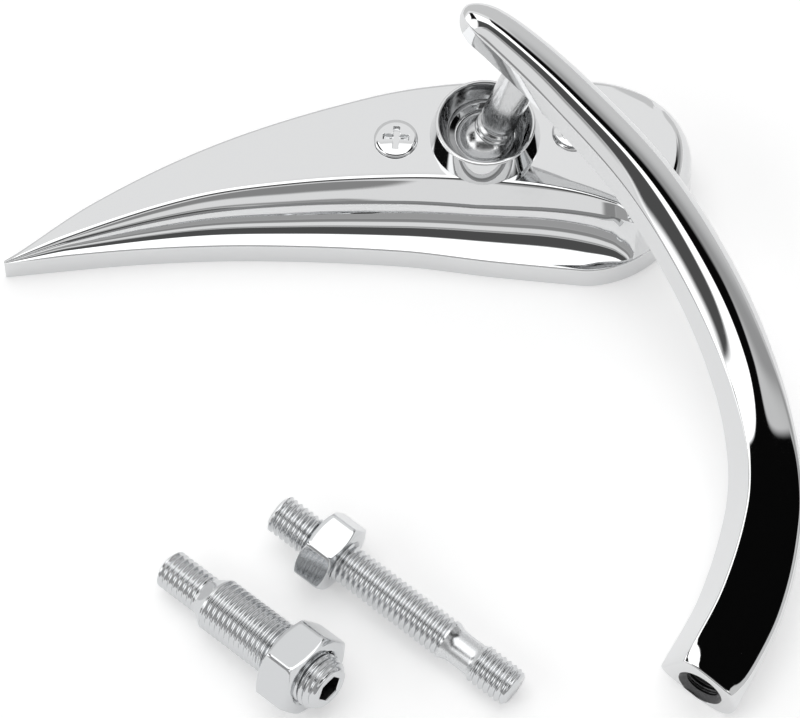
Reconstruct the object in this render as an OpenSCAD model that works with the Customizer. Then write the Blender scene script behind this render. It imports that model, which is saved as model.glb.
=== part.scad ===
// Custom handlebar mirror for a motorcycle: a pointed cast head with a convex glass,
// a ball stud in a clamped socket, a curved tapering arm, and two loose adapter studs
// with their nuts. Millimetres, +Z up, lying on its glass on a table at z = 0.

/* [Head] */
// Height of the flat back plate above the table
plate_z = 16; // [15:0.5:18]
// Height of the wall in front of the scoop
wall_h = 6; // [5.5:0.1:6.5]
// Thickness of the cast shell
shell_t = 1.8; // [1.6:0.1:2.2]
// Scale of the head's outline
head_k = 1; // [0.95:0.01:1.1]

/* [Boss and ball joint] */
// Height of the boss above the back plate
boss_rise = 5.2; // [4.6:0.1:6]
// Outer radius of the boss at its rim
boss_r = 10.5; // [10.3:0.1:11.2]
// Radius of the hole that the stud's neck comes out of
socket_hole_r = 5.9; // [5.6:0.1:6.1]
// Radius of the ball
ball_r = 7; // [6.9:0.05:7.1]
// Radius of the stud's shank
shank_r = 3.75; // [3.4:0.05:4]
// Running clearance of the ball and of the seats
run_gap = 0.05; // [0.03:0.01:0.08]

/* [Clamp] */
// Distance from the boss's centre to each clamp screw
screw_pitch = 17.4; // [17:0.1:18]
// Angle of the line through the two screws
screw_line_deg = 2.4; // [0:0.1:4]
// Radius of a clamp screw's thread
screw_r = 2; // [1.9:0.05:2.1]
// Radius of a clamp screw's head
screw_head_r = 4.3; // [4:0.1:4.5]

/* [Arm] */
// Roll of the arm's plane about Y
arm_roll = 17.8; // [17:0.1:19]
// Pitch of the arm's plane about X
arm_pitch = 11; // [10:0.1:12]
// Tapping radius of the hole in the arm's end
tap_r = 3.4; // [3.3:0.05:3.5]
// Depth of the tapped hole
tap_depth = 22; // [15:1:24]

/* [Adapter studs] */
// Thread radius of the 8 mm threads
thread_r = 3.95; // [3.9:0.05:4]
// Thread radius of the short stud's large end
big_thread_r = 5.45; // [5.3:0.05:5.6]
// Width of the long stud's nut across its flats
long_nut_af = 13.5; // [13:0.1:14.3]
// Width of the short stud's nut across its flats
short_nut_af = 15.9; // [15.5:0.1:17]

/* [Hidden] */
$fn = 64;

// Where the frame's origin lies in the layout below: under the middle of the whole set
origin_x = -0.49;
origin_y = -11.35;

// The ball's centre in the layout, and the point where the stud's axis meets the arm
ball_x = 16.6;
ball_y = 40.9;
ball_z = 12;
arm_end = [55.5, -73.4, 6.983];

// Heights of what is stacked inside the head
hole_top_z = 16.4;
seat_top_z = 15.4;
seat_split_z = 12;
cup_flange_z = 8.4;
clamp_top_z = 7.2;
clamp_t = 2;
ledge_z = 4;
seat_r = 9;
seal_w = 0.7;
glass_t = 1.8;
glass_low_z = 0.5;
glass_bow_r = 2000;
glass_inset = 1.6;
boss_z = plate_z + boss_rise;

// ---- small helpers ----------------------------------------------------------------

function mix(a, b, t) = a + (b - a) * t;
function clamp01(t) = max(0, min(1, t));
function knot(p, x, i = 0) = (i >= len(p) - 2 || x < p[i + 1][0]) ? i : knot(p, x, i + 1);
function slope(p, i, c) =
    let (a = max(i - 1, 0), b = min(i + 1, len(p) - 1))
    (p[b][c] - p[a][c]) / (p[b][0] - p[a][0]);
// Smooth curve through the rows of p: column 0 is the running value, column c the result
function curve(p, x, c = 1) =
    let (
        i = knot(p, x),
        h = p[i + 1][0] - p[i][0],
        t = (x - p[i][0]) / h,
        m0 = slope(p, i, c) * h,
        m1 = slope(p, i + 1, c) * h,
        d = p[i][c] - p[i + 1][c]
    )
    p[i][c] + t * (m0 + t * (-3 * d - 2 * m0 - m1 + t * (2 * d + m0 + m1)));

// Skin over rings that all hold the same number of points
module skin(rings) {
    n = len(rings[0]);
    m = len(rings);
    polyhedron(
        points = [for (r = rings) each r],
        faces = concat(
            [[for (j = [0 : n - 1]) j]],
            [for (i = [0 : m - 2], j = [0 : n - 1])
                [i * n + j, (i + 1) * n + j, (i + 1) * n + (j + 1) % n]],
            [for (i = [0 : m - 2], j = [0 : n - 1])
                [i * n + j, (i + 1) * n + (j + 1) % n, i * n + (j + 1) % n]],
            [[for (j = [n - 1 : -1 : 0]) (m - 1) * n + j]]
        ),
        convexity = 8
    );
}

module place() translate([-origin_x, -origin_y, 0]) children();
module head_frame() place() translate([ball_x, ball_y, 0]) children();

// ---- head outline, measured from the boss's centre ---------------------------------

tip_x = -93.8;
lobe_x = 19.4;
lobe_l = 21.4;
lobe_y = -1.9;
end_x = lobe_x + lobe_l;
roll_l = 4;
front_pts = [[tip_x, -22.7], [-67, -19.9], [-45, -19.1], [-16.6, -20.3], [1.4, -22.7], [lobe_x, -24.7]];
back_pts = [[tip_x, -22], [-76.6, -10.7], [-52.6, 0.4], [-24.6, 9.1], [-4.6, 13.1], [lobe_x, 14.7]];
plate_pts = [[tip_x, -22.4], [-81.4, -18.1], [-56.6, -11.8], [-36.6, -9.8], [-16.6, -9.2],
    [-4.6, -9.5], [4.7, -10.4], [12.4, -11.4], [lobe_x, -13], [26.5, -15.6]];

// Half-ellipse of the round end: 1 at the widest place, 0 at the end
function lobe(x, l) = sqrt(max(0, 1 - pow(max(0, x - lobe_x) / l, 2)));
function front_y(x) = x < lobe_x ? curve(front_pts, x) : mix(lobe_y, -24.7, lobe(x, lobe_l));
function back_y(x) = x < lobe_x ? curve(back_pts, x) : mix(lobe_y, 14.7, lobe(x, lobe_l));
function top_z(x) =
    let (u = max(0, (-6.6 - x) / (-6.6 - tip_x)), e = max(0, x - (end_x - roll_l)) / roll_l)
    mix(mix(plate_z, 5.5, u * u), wall_h + 1, 1 - sqrt(max(0, 1 - e * e)));
function wall_z(x) = mix(5.3, wall_h, clamp01((x - tip_x) / 12));
function roll_w(x) = mix(1, roll_l, clamp01((x + 10) / 32));
function roll_h(x) = mix(1.4, 8.5, pow(clamp01((x + 10) / 40), 1.5));
function inner_lobe(x) = lobe(x, lobe_l - roll_l);
function plate_front_y(x) =
    let (edge = mix(lobe_y, -24.7 + roll_l, inner_lobe(x)), t = clamp01((x - 25) / 7))
    mix(curve(plate_pts, min(x, 26.5)), edge, t * t * (3 - 2 * t));
function plate_back_y(x) = x < lobe_x ? back_y(x) - roll_w(x)
    : mix(lobe_y, 14.7 - roll_w(x), inner_lobe(x));
// The crease above the scoop, as shares of the way from the plate's edge to the wall
function crease_out(x) = mix(0.32, 0.23, clamp01((x + 2) / 24));
function crease_up(x) = mix(0.68, 0.78, clamp01((x + 2) / 24));
// How hollow the scoop is: full along the head, fading out in a rounded end
function scoop(x) = x < 22 ? 1 : sqrt(max(0, 1 - pow((x - 22) / 7, 2)));

// One cross-section of the head at x, as [y, z], drawn in by t on every side but the open one
function head_section(x, t, low) =
    let (
        yf = front_y(x) + t, yb = back_y(x) - t,
        zw = wall_z(x) - t, zt = max(top_z(x) - t, zw + 0.05),
        pf = max(plate_front_y(x) + t * 0.4, yf + 0.02),
        pb = max(min(plate_back_y(x), yb - 0.05), pf + 0.02),
        yc = mix(pf, yf, crease_out(x)), zc = mix(zw, zt, crease_up(x)),
        dz = min(roll_h(x), zt - zw) * clamp01((yb - pb) * 3)
    )
    concat(
        [[yf, low], [yf, zw - 0.3]],
        [for (a = [0 : 9 : 90])
            let (k = a / 90)
            [mix(yf + 0.3, yc, mix(k, sin(a), scoop(x))), mix(zw, zc, mix(k, 1 - cos(a), scoop(x)))]],
        [[pf, zt], [mix(pf, pb, 0.5), zt]],
        [for (a = [0 : 18 : 90]) [mix(pb, yb, sin(a)), zt - dz * (1 - cos(a))]],
        [[yb, low]]
    );

function head_stations(x0, x1, n_body, n_lobe) = concat(
    [for (i = [0 : n_body - 1]) mix(x0, lobe_x, i / n_body)],
    [for (i = [0 : n_lobe]) mix(lobe_x, x1, sin(90 * i / n_lobe))]
);

module head_loft(t, low, x0, x1, n_body, n_lobe)
    scale([head_k, head_k, 1])
    skin([for (x = head_stations(x0, x1, n_body, n_lobe))
        let (sec = head_section(x, t, low))
        [for (i = [len(sec) - 1 : -1 : 0]) [x, sec[i][0], sec[i][1]]]]);

// Flat outline of the glass and of its pad, drawn in by t
module glass_outline(t) {
    xs = head_stations(tip_x + 6 * t, end_x - t - 0.05, 40, 16);
    scale([head_k, head_k, 1])
        polygon(concat(
            [for (x = xs) [x, front_y(x + t * 0.5) + t]],
            [for (i = [len(xs) - 1 : -1 : 0]) [xs[i], back_y(xs[i] + t * 0.5) - t]]
        ));
}

// ---- head parts --------------------------------------------------------------------

module boss_profile() {
    rim = 0.4;
    rim_r = boss_r - 0.7;
    polygon(concat(
        [[0, 7.1], [boss_r - 0.3, 7.1], [boss_r + 0.3, plate_z + 0.6]],
        [for (a = [0 : 15 : 90]) [rim_r - rim + rim * cos(a), boss_z - rim + rim * sin(a)]],
        [[0, boss_z]]
    ));
}

module recess_profile() {
    lip_r = 8.75;
    polygon([
        [0, -1], [seat_r + run_gap, -1], [seat_r + run_gap, seat_top_z], [socket_hole_r, seat_top_z],
        [socket_hole_r, hole_top_z], [socket_hole_r + 1.5, hole_top_z + 0.6],
        [lip_r - 0.5, hole_top_z + 2.4], [lip_r, boss_z - 0.5], [lip_r + 0.5, boss_z + 0.1], [0, boss_z + 0.1]
    ]);
}

module screw_places() rotate(screw_line_deg) for (s = [-1, 1]) translate([s * screw_pitch, 0, 0]) children();

module head_housing() color("gainsboro") head_frame() difference() {
    union() {
        difference() {
            head_loft(0, 0, tip_x, end_x - 0.02, 36, 14);
            head_loft(shell_t + 1.4, -1, tip_x + 20, end_x - shell_t - 2, 16, 7);
            translate([0, 0, -1]) linear_extrude(ledge_z + 1) glass_outline(glass_inset);
        }
        rotate_extrude() boss_profile();
        screw_places() translate([0, 0, clamp_top_z]) cylinder(r = 3.8, h = 7.4);
    }
    rotate_extrude() recess_profile();
    translate([0, 0, ball_z]) sphere(r = ball_r + run_gap);
    screw_places() cylinder(r = screw_r + 0.1, h = plate_z + 5);
    clamp_room();
}

// Room for the clamp plate, left open towards the glass
module clamp_room() rotate(screw_line_deg) translate([0, 0, -1]) linear_extrude(clamp_top_z + 1.4)
    clamp_outline(0.4);

module clamp_outline(gap) {
    half_l = screw_pitch + 4.6;
    square([2 * (half_l - 4) + 2 * gap, 16 + 2 * gap], center = true);
    square([2 * half_l + 2 * gap, 8 + 2 * gap], center = true);
}

module glass_bow(z_mid, h) {
    reach = 130;
    rotate_extrude($fn = 120)
        polygon(concat(
            [for (i = [0 : 12]) let (r = reach * i / 12) [r, z_mid + r * r / (2 * glass_bow_r)]],
            [[reach, z_mid + h + 6], [0, z_mid + h + 6]]
        ));
}

module mirror_glass() color("lightsteelblue") head_frame() intersection() {
    linear_extrude(20) glass_outline(glass_inset + seal_w);
    translate([-26 * head_k, 0, 0]) difference() {
        glass_bow(glass_low_z, 20);
        glass_bow(glass_low_z + glass_t, 30);
    }
}

module glass_pad() color("dimgray") head_frame() intersection() {
    linear_extrude(ledge_z) glass_outline(glass_inset + seal_w + 0.2);
    translate([-26 * head_k, 0, 0]) glass_bow(glass_low_z + glass_t, 20);
}

// Bead of rubber between the edge of the glass and the rim
module rim_seal() color("black") head_frame() translate([0, 0, 1.5]) linear_extrude(1.8) difference() {
    glass_outline(glass_inset);
    glass_outline(glass_inset + seal_w);
}

module upper_seat_ring() color("ivory") head_frame() difference() {
    translate([0, 0, seat_split_z + 0.3]) cylinder(r = seat_r, h = seat_top_z - seat_split_z - 0.3);
    translate([0, 0, ball_z]) sphere(r = ball_r + run_gap);
}

module lower_seat_cup() color("ivory") head_frame() difference() {
    union() {
        translate([0, 0, cup_flange_z]) cylinder(r = seat_r, h = seat_split_z - 0.3 - cup_flange_z);
        intersection() {
            translate([0, 0, ball_z]) sphere(r = ball_r + 0.9);
            translate([0, 0, 5.4]) cylinder(r = seat_r, h = cup_flange_z - 5);
        }
    }
    translate([0, 0, ball_z]) sphere(r = ball_r + run_gap);
}

// A pair of disc springs set rim to rim between the clamp plate and the lower cup
module disc_spring(z, side) translate([0, 0, z]) scale([1, 1, side]) rotate_extrude()
    polygon([[7.3, 0], [7.8, 0], [8.8, 0.25], [8.8, 0.6], [8.3, 0.6], [7.3, 0.35]]);
module disc_spring_lower() color("slategray") head_frame() disc_spring(clamp_top_z, 1);
module disc_spring_upper() color("slategray") head_frame() disc_spring(cup_flange_z, -1);

module clamp_plate() color("silver") head_frame() rotate(screw_line_deg) difference() {
    translate([0, 0, clamp_top_z - clamp_t]) linear_extrude(clamp_t) clamp_outline(0);
    translate([0, 0, -1]) cylinder(r = 6.7, h = 20);
    for (s = [-1, 1]) translate([s * screw_pitch, 0, -1]) cylinder(r = screw_r, h = 20);
}

// Oval-headed screw with a cross recess, its head sunk a little in the plate
module clamp_screw(side) color("whitesmoke") head_frame() rotate(screw_line_deg)
    translate([side * screw_pitch, 0, 0]) difference() {
        union() {
            translate([0, 0, 4.6]) cylinder(r = screw_r, h = plate_z - 4.6);
            intersection() {
                translate([0, 0, plate_z]) cylinder(r = screw_head_r, h = 2);
                translate([0, 0, plate_z + 1.7 - 9]) sphere(r = 9);
            }
        }
        for (a = [0, 90]) rotate(a)
            translate([-2.1, -0.42, plate_z + 0.3]) cube([4.2, 0.84, 3]);
    }
module clamp_screw_left() clamp_screw(-1);
module clamp_screw_right() clamp_screw(1);

// ---- ball stud ---------------------------------------------------------------------

// Where the stud's axis meets the arm's middle plane, in the arm's own plane
stud_u = -39.4;
stud_v = 118.6;
function arm_point(u, v, q) =
    let (
        y1 = v * cos(arm_pitch) - q * sin(arm_pitch),
        z1 = v * sin(arm_pitch) + q * cos(arm_pitch)
    )
    arm_end + [u * cos(arm_roll) + z1 * sin(arm_roll), y1, z1 * cos(arm_roll) - u * sin(arm_roll)];
stud_vec = arm_point(stud_u, stud_v, 0) - [ball_x, ball_y, ball_z];
stud_l = norm(stud_vec);
stud_tilt = acos(stud_vec[2] / stud_l);
stud_turn = atan2(stud_vec[1], stud_vec[0]);
tenon_r = 2.5;
shoulder_l = stud_l - 3.1;
tenon_l = 4.2;

module stud_frame() place() translate([ball_x, ball_y, ball_z]) rotate([0, stud_tilt, stud_turn]) children();

module ball_stud() color("silver") stud_frame() {
    neck_r = shank_r - 0.55;
    difference() {
        sphere(r = ball_r);
        translate([0, 0, 6.2]) cylinder(r = ball_r, h = 2);
    }
    rotate_extrude() polygon([
        [0, 5], [3.95, 5], [3.95, 6.5], [3.5, 6.8], [3.5, 7.1], [3.9, 7.4], [3.9, 7.9], [neck_r, 8.3],
        [neck_r, 9], [shank_r, 9.6], [shank_r, shoulder_l], [tenon_r, shoulder_l],
        [tenon_r, shoulder_l + tenon_l], [0, shoulder_l + tenon_l]
    ]);
}

// ---- arm, in its own plane: u across, v along, q up --------------------------------

// Rows of [station, u, v] along the concave inner edge and along the convex outer edge
inner_pts = [
    [0, -6.2, 4.5], [0.106, 0.6, 18.4], [0.23, 5, 34.8], [0.31, 5.2, 45.7], [0.412, 1.7, 59.5],
    [0.54, -6.3, 75.8], [0.69, -19.1, 93.6], [0.834, -34.9, 108.3], [0.939, -47.4, 118.1], [1, -55.2, 123.4]
];
outer_pts = [
    [0, 7.2, -3.5], [0.106, 15.2, 14.6], [0.23, 18.9, 33.8], [0.31, 18, 47.6], [0.412, 13.4, 64],
    [0.54, 4.2, 82.8], [0.69, -10.2, 102.1], [0.834, -27.6, 116.8], [0.939, -41.6, 125.9], [1, -51.6, 130]
];
// Rows of [station, underside, height of the inner edge, its inset, slope inside the ridge,
// slope outside it, roundness of the ridge, width of the outer shoulder]
arm_shape = [
    [0, -6.1, 5.2, 1.4, 0.04, 0.06, 1.6, 3.2], [0.05, -5.8, 5.4, 1, 0.03, 0.03, 1.5, 2.4],
    [0.23, -5.2, 4.9, 1, 0.03, 0.05, 1.5, 2.2], [0.33, -4.5, 4, 0.9, 0.15, 0.14, 1.6, 2.2],
    [0.42, -3.9, 3, 0.6, 0.8, 0.36, 2.6, 2.6], [0.52, -3.5, 2.4, 0.4, 1.05, 0.46, 3, 3],
    [0.72, -3, 2, 0.4, 1.05, 0.5, 2.2, 3.2], [0.85, -2.9, 1.9, 0.4, 1.05, 0.5, 1.8, 3],
    [1, -2.9, 1.9, 0.4, 1.05, 0.5, 1.4, 2.4]
];
nose = 0.965;
// Place of the ridge, as a part of the arm's width from the inner edge
ridge = 0.32;

// Height of the arm's top beside its ridge, at x across a width of w
function crown(x, w, lean_in, lean_out, soft) =
    let (h = x - ridge * w)
    -(lean_out - lean_in) / 2 * h - (lean_out + lean_in) / 2 * norm([h, soft]);

// Smooth corner from a to c that would turn at b, without its first point
function bend(a, b, c, n) =
    [for (i = [1 : n]) let (t = i / n) (1 - t) * (1 - t) * a + 2 * t * (1 - t) * b + t * t * c];

// One cross-section of the arm, as [across, up], from the inner edge round the top
function arm_section(w, low, edge, inset, lean_in, lean_out, soft, shoulder) =
    let (
        base = edge - crown(inset, w, lean_in, lean_out, soft),
        end = [w - shoulder, base + crown(w - shoulder, w, lean_in, lean_out, soft)],
        side = end[1] - lean_out * shoulder,
        foot = mix(low, edge, 0.38),
        sag = 0.11 * (edge - low)
    )
    concat(
        bend([0.3 * w, low], [0.06 * w, low], [0, low + sag], 3),
        [[0.94 * inset, edge - 0.3]],
        [for (i = [0 : 11]) let (x = mix(inset, w - shoulder, i / 11))
            [x, base + crown(x, w, lean_in, lean_out, soft)]],
        bend(end, [w, side], [w, foot], 7),
        bend([w, foot], [w, low], [0.55 * w, low], 6)
    );

function arm_ring(s) =
    let (
        p = [curve(inner_pts, s, 1), curve(inner_pts, s, 2)],
        o = [curve(outer_pts, s, 1), curve(outer_pts, s, 2)],
        w = norm(o - p),
        d = (o - p) / w,
        row = [for (column = [1 : 7]) curve(arm_shape, s, column)],
        sec = arm_section(w, row[0], row[1], row[2], row[3], row[4], row[5], row[6]),
        n = max(0, s - nose) / (1 - nose),
        k = sqrt(max(0.0004, 1 - n * n))
    )
    [for (q = sec)
        let (a = mix(w / 2, q[0], k))
        [p[0] + d[0] * a, p[1] + d[1] * a, q[1] * k]];

arm_stations = concat(
    [for (i = [0 : 45]) nose * i / 46],
    [for (a = [0 : 15 : 90]) mix(nose, 1, sin(a))]
);

module arm_frame() place() translate(arm_end) rotate([arm_pitch, arm_roll, 0]) children();

// Direction of the tapped hole in the arm's plane: square to the end face
end_face = [outer_pts[0][1] - inner_pts[0][1], outer_pts[0][2] - inner_pts[0][2]];
end_turn = atan2(end_face[1], end_face[0]);
hole_at = 0.5;
hole_up = -1.3;

module arm_hole_frame() arm_frame()
    translate([mix(inner_pts[0][1], outer_pts[0][1], hole_at),
        mix(inner_pts[0][2], outer_pts[0][2], hole_at), hole_up])
    rotate([0, 0, end_turn]) rotate([-90, 0, 0]) children();

module arm() color("whitesmoke") difference() {
    arm_frame() skin([for (s = arm_stations) arm_ring(s)]);
    arm_hole_frame() {
        translate([0, 0, -1]) cylinder(r = tap_r, h = tap_depth + 1);
        translate([0, 0, -1]) cylinder(r1 = tap_r + 2.2, r2 = tap_r - 0.1, h = 2.3);
    }
    stud_frame() {
        translate([0, 0, shoulder_l - 2.4]) cylinder(r = shank_r + run_gap, h = 2.4);
        translate([0, 0, shoulder_l - 1]) cylinder(r = tenon_r + run_gap, h = tenon_l + 1.3);
    }
}

// ---- adapter studs, each along its own +Z ------------------------------------------

long_nut_h = 6.6;
short_nut_h = 7.4;
// Rows of [radius, height] up one side of a stud
long_l = 56.6;
long_profile = [
    [thread_r - 0.7, 0], [thread_r, 0.8], [thread_r, 40.4], [3.3, 42.3], [3.3, 47.2], [thread_r, 48.3],
    [thread_r, long_l - 0.9], [thread_r - 0.9, long_l]
];
short_l = 41.6;
short_profile = [
    [thread_r - 0.7, 0], [thread_r, 0.8], [thread_r, 10], [big_thread_r, 12.9],
    [big_thread_r, short_l - 2.2], [big_thread_r - 0.6, short_l - 0.9],
    [big_thread_r - 1.6, short_l]
];
long_nut_z = 9.3;
short_nut_z = 30.4;

// A stud rests on one thread and on the edge of its nut, so it leans
long_lean = atan((long_nut_af / 2 - thread_r) / (long_l - 0.9 - long_nut_z - long_nut_h));
short_lean = atan((short_nut_af / 2 - thread_r) / (short_nut_z - 0.8));
long_turn = -38.3;
short_turn = -42.1;
long_at = [-23, -37.1];
short_at = [-43.5, -46.9];

module long_frame() place()
    translate([long_at[0], long_at[1], thread_r * cos(long_lean) + (long_l - 0.9) * sin(long_lean)])
    rotate([0, 90 + long_lean, long_turn]) children();
module short_frame() place()
    translate([short_at[0], short_at[1], (thread_r * cos(short_lean)) - 0.8 * sin(short_lean)])
    rotate([0, 90 - short_lean, short_turn]) children();

module stud_body(profile) rotate_extrude()
    polygon(concat([[0, 0]], profile, [[0, profile[len(profile) - 1][1]]]));

// Hexagon nut with both faces chamfered, one flat turned down
module nut(af, nut_h, bore_r) difference() {
    ac = af / cos(30);
    intersection() {
        cylinder(r = ac / 2, h = nut_h, $fn = 6);
        rotate_extrude() polygon([
            [0, 0], [af / 2 - 0.2, 0], [ac / 2, (ac - af) / 2 * 0.62], [ac / 2, nut_h - (ac - af) / 2 * 0.62],
            [af / 2 - 0.2, nut_h], [0, nut_h]
        ]);
    }
    translate([0, 0, -1]) cylinder(r = bore_r, h = nut_h + 2);
}

module long_stud() color("gainsboro") long_frame() stud_body(long_profile);
module long_stud_nut() color("whitesmoke") long_frame() translate([0, 0, long_nut_z])
    rotate(30) nut(long_nut_af, long_nut_h, thread_r + run_gap);
module short_stud() color("gainsboro") short_frame() difference() {
    stud_body(short_profile);
    translate([0, 0, short_l - 5]) cylinder(r = 4.8 / 2 / cos(30), h = 6, $fn = 6);
}
module short_stud_nut() color("whitesmoke") short_frame() translate([0, 0, short_nut_z])
    rotate(30) nut(short_nut_af, short_nut_h, big_thread_r + run_gap);

head_housing();
mirror_glass();
glass_pad();
rim_seal();
upper_seat_ring();
lower_seat_cup();
disc_spring_lower();
disc_spring_upper();
clamp_plate();
clamp_screw_left();
clamp_screw_right();
ball_stud();
arm();
long_stud();
long_stud_nut();
short_stud();
short_stud_nut();
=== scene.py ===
"""Chrome handlebar mirror lying on its glass, with two loose adapter studs, in a bright studio."""

import math

import bpy
import numpy as np
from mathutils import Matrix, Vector


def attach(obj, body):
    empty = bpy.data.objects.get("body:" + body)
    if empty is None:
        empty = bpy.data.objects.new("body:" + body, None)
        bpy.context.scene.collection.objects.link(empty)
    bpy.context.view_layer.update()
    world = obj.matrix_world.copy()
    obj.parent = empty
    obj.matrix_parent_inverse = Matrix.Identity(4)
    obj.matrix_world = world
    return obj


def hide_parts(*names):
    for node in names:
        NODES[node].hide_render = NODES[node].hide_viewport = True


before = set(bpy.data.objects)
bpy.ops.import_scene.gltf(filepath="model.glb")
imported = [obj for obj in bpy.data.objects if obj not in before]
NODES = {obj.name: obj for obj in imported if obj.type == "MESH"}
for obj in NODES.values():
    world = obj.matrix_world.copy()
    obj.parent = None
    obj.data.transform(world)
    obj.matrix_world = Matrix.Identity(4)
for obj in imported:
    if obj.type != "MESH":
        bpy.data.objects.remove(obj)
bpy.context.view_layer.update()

MM = 0.001

# ---- values that the solid model shares, in millimetres ----------------------------------------

ORIGIN = np.array([-0.49, -11.35, 0.0])
BALL = np.array([16.6, 40.9, 12.0])
PLATE_Z = 16.0
WALL_H = 6.0
BOSS_R = 10.5
BOSS_Z = 21.2
HOLE_R = 5.9
HOLE_TOP_Z = 16.4
SEAT_TOP_Z = 15.4
BALL_R = 7.0
SHANK_R = 3.75
SCREW_PITCH = 17.4
SCREW_LINE = math.radians(2.4)
SCREW_HEAD_R = 4.3
SCREW_R = 2.0
ARM_ROLL = math.radians(17.8)
ARM_PITCH = math.radians(11)
ARM_END = np.array([55.5, -73.4, 6.983])
STUD_UV = (-39.4, 118.6)
TAP_R = 3.4
TAP_DEPTH = 22.0
THREAD_R = 3.95
BIG_THREAD_R = 5.45
PITCH = 1.25
LEDGE_Z = 4.0
GLASS_INSET = 1.6

TIP_X = -93.8
LOBE_X = 19.4
LOBE_L = 21.4
LOBE_Y = -1.9
END_X = LOBE_X + LOBE_L
LOBE_FRONT = -24.7
LOBE_BACK = 14.7
ROLL_L = 4.0
ROLL_W = 3.0
ROLL_H = 8.5
DROOP_X = -6.6
TIP_TOP_Z = 5.5
TIP_WALL_H = 5.3
PLATE_END_X = 26.5
FRONT = [(TIP_X, -22.7), (-67, -19.9), (-45, -19.1), (-16.6, -20.3), (1.4, -22.7), (LOBE_X, LOBE_FRONT)]
BACK = [(TIP_X, -22), (-76.6, -10.7), (-52.6, 0.4), (-24.6, 9.1), (-4.6, 13.1), (LOBE_X, LOBE_BACK)]
PLATE = [(TIP_X, -22.4), (-81.4, -18.1), (-56.6, -11.8), (-36.6, -9.8), (-16.6, -9.2), (-4.6, -9.5),
         (4.7, -10.4), (12.4, -11.4), (LOBE_X, -13), (PLATE_END_X, -15.6)]


# ---- small helpers -----------------------------------------------------------------------------

def mix(a, b, t):
    return a + (b - a) * t


def clamp01(t):
    return max(0.0, min(1.0, t))


def ease(t):
    t = clamp01(t)
    return t * t * (3 - 2 * t)


def curve(points, x, column=1):
    """Smooth curve through the rows of points: column 0 is the running value."""
    last = len(points) - 2
    i = 0
    while i < last and x >= points[i + 1][0]:
        i += 1

    def slope(k):
        a, b = max(k - 1, 0), min(k + 1, len(points) - 1)
        return (points[b][column] - points[a][column]) / (points[b][0] - points[a][0])

    h = points[i + 1][0] - points[i][0]
    t = (x - points[i][0]) / h
    m0, m1 = slope(i) * h, slope(i + 1) * h
    d = points[i][column] - points[i + 1][column]
    return points[i][column] + t * (m0 + t * (-3 * d - 2 * m0 - m1 + t * (2 * d + m0 + m1)))


def turn(axis, angle):
    c, s = math.cos(angle), math.sin(angle)
    rows = {
        "X": [[1, 0, 0], [0, c, -s], [0, s, c]],
        "Y": [[c, 0, s], [0, 1, 0], [-s, 0, c]],
        "Z": [[c, -s, 0], [s, c, 0], [0, 0, 1]],
    }
    return np.array(rows[axis])


def unit(v):
    return v / np.linalg.norm(v)


class Place:
    """A frame: rotation and position in the layout, in millimetres."""

    def __init__(self, rotation, position):
        self.rotation = rotation
        self.position = np.array(position, float)

    def __call__(self, points):
        rows = np.asarray(points, float) @ self.rotation.T + self.position - ORIGIN
        return rows * MM


HEAD_AT = Place(np.eye(3), [BALL[0], BALL[1], 0])
ARM_TURN = turn("Y", ARM_ROLL) @ turn("X", ARM_PITCH)
ARM_AT = Place(ARM_TURN, ARM_END)
stud_foot = ARM_END + ARM_TURN @ np.array([STUD_UV[0], STUD_UV[1], 0])
stud_vec = stud_foot - BALL
STUD_L = float(np.linalg.norm(stud_vec))
STUD_AT = Place(
    turn("Z", math.atan2(stud_vec[1], stud_vec[0])) @ turn("Y", math.acos(stud_vec[2] / STUD_L)), BALL
)


def make(name, verts, faces, body, material, nodes, sharp=35):
    """A mesh piece from rows of points already in metres, riding on a body in place of CAD nodes."""
    mesh = bpy.data.meshes.new(name)
    mesh.from_pydata([tuple(v) for v in verts], [], faces)
    mesh.validate()
    obj = bpy.data.objects.new(name, mesh)
    bpy.context.scene.collection.objects.link(obj)
    mesh.shade_smooth()
    mesh.set_sharp_from_angle(angle=math.radians(sharp))
    mesh.materials.append(material)
    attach(obj, body)
    if nodes:
        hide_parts(*nodes)
    return obj


class Shape:
    """Collects several skins in one mesh."""

    def __init__(self):
        self.verts = []
        self.faces = []

    def skin(self, rings, place, closed=True, cap_start=False, cap_end=False, flip=False):
        n = len(rings[0])
        base = len(self.verts)
        for ring in rings:
            self.verts.extend(place(ring))
        span = n if closed else n - 1
        quads = []
        for i in range(len(rings) - 1):
            for j in range(span):
                a, b = base + i * n + j, base + i * n + (j + 1) % n
                quads.append((a, b, b + n, a + n))
        if cap_start:
            quads.append(tuple(base + j for j in reversed(range(n))))
        if cap_end:
            top = base + (len(rings) - 1) * n
            quads.append(tuple(top + j for j in range(n)))
        self.faces.extend(tuple(reversed(q)) if flip else q for q in quads)


AXIS_R = 0.002  # radius that stands for a point on an axis


def around(radii, heights):
    """A ring round the Z axis from one radius and one height for each of its evenly spaced points."""
    n = len(radii)
    return [(r * math.cos(2 * math.pi * j / n), r * math.sin(2 * math.pi * j / n), z)
            for j, (r, z) in enumerate(zip(radii, heights))]


def circle(radius, z, n):
    return around([radius] * n, [z] * n)


def lathe(profile, n):
    """Rings of a turned profile of (radius, height)."""
    return [circle(max(r, AXIS_R), z, n) for r, z in profile]


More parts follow.
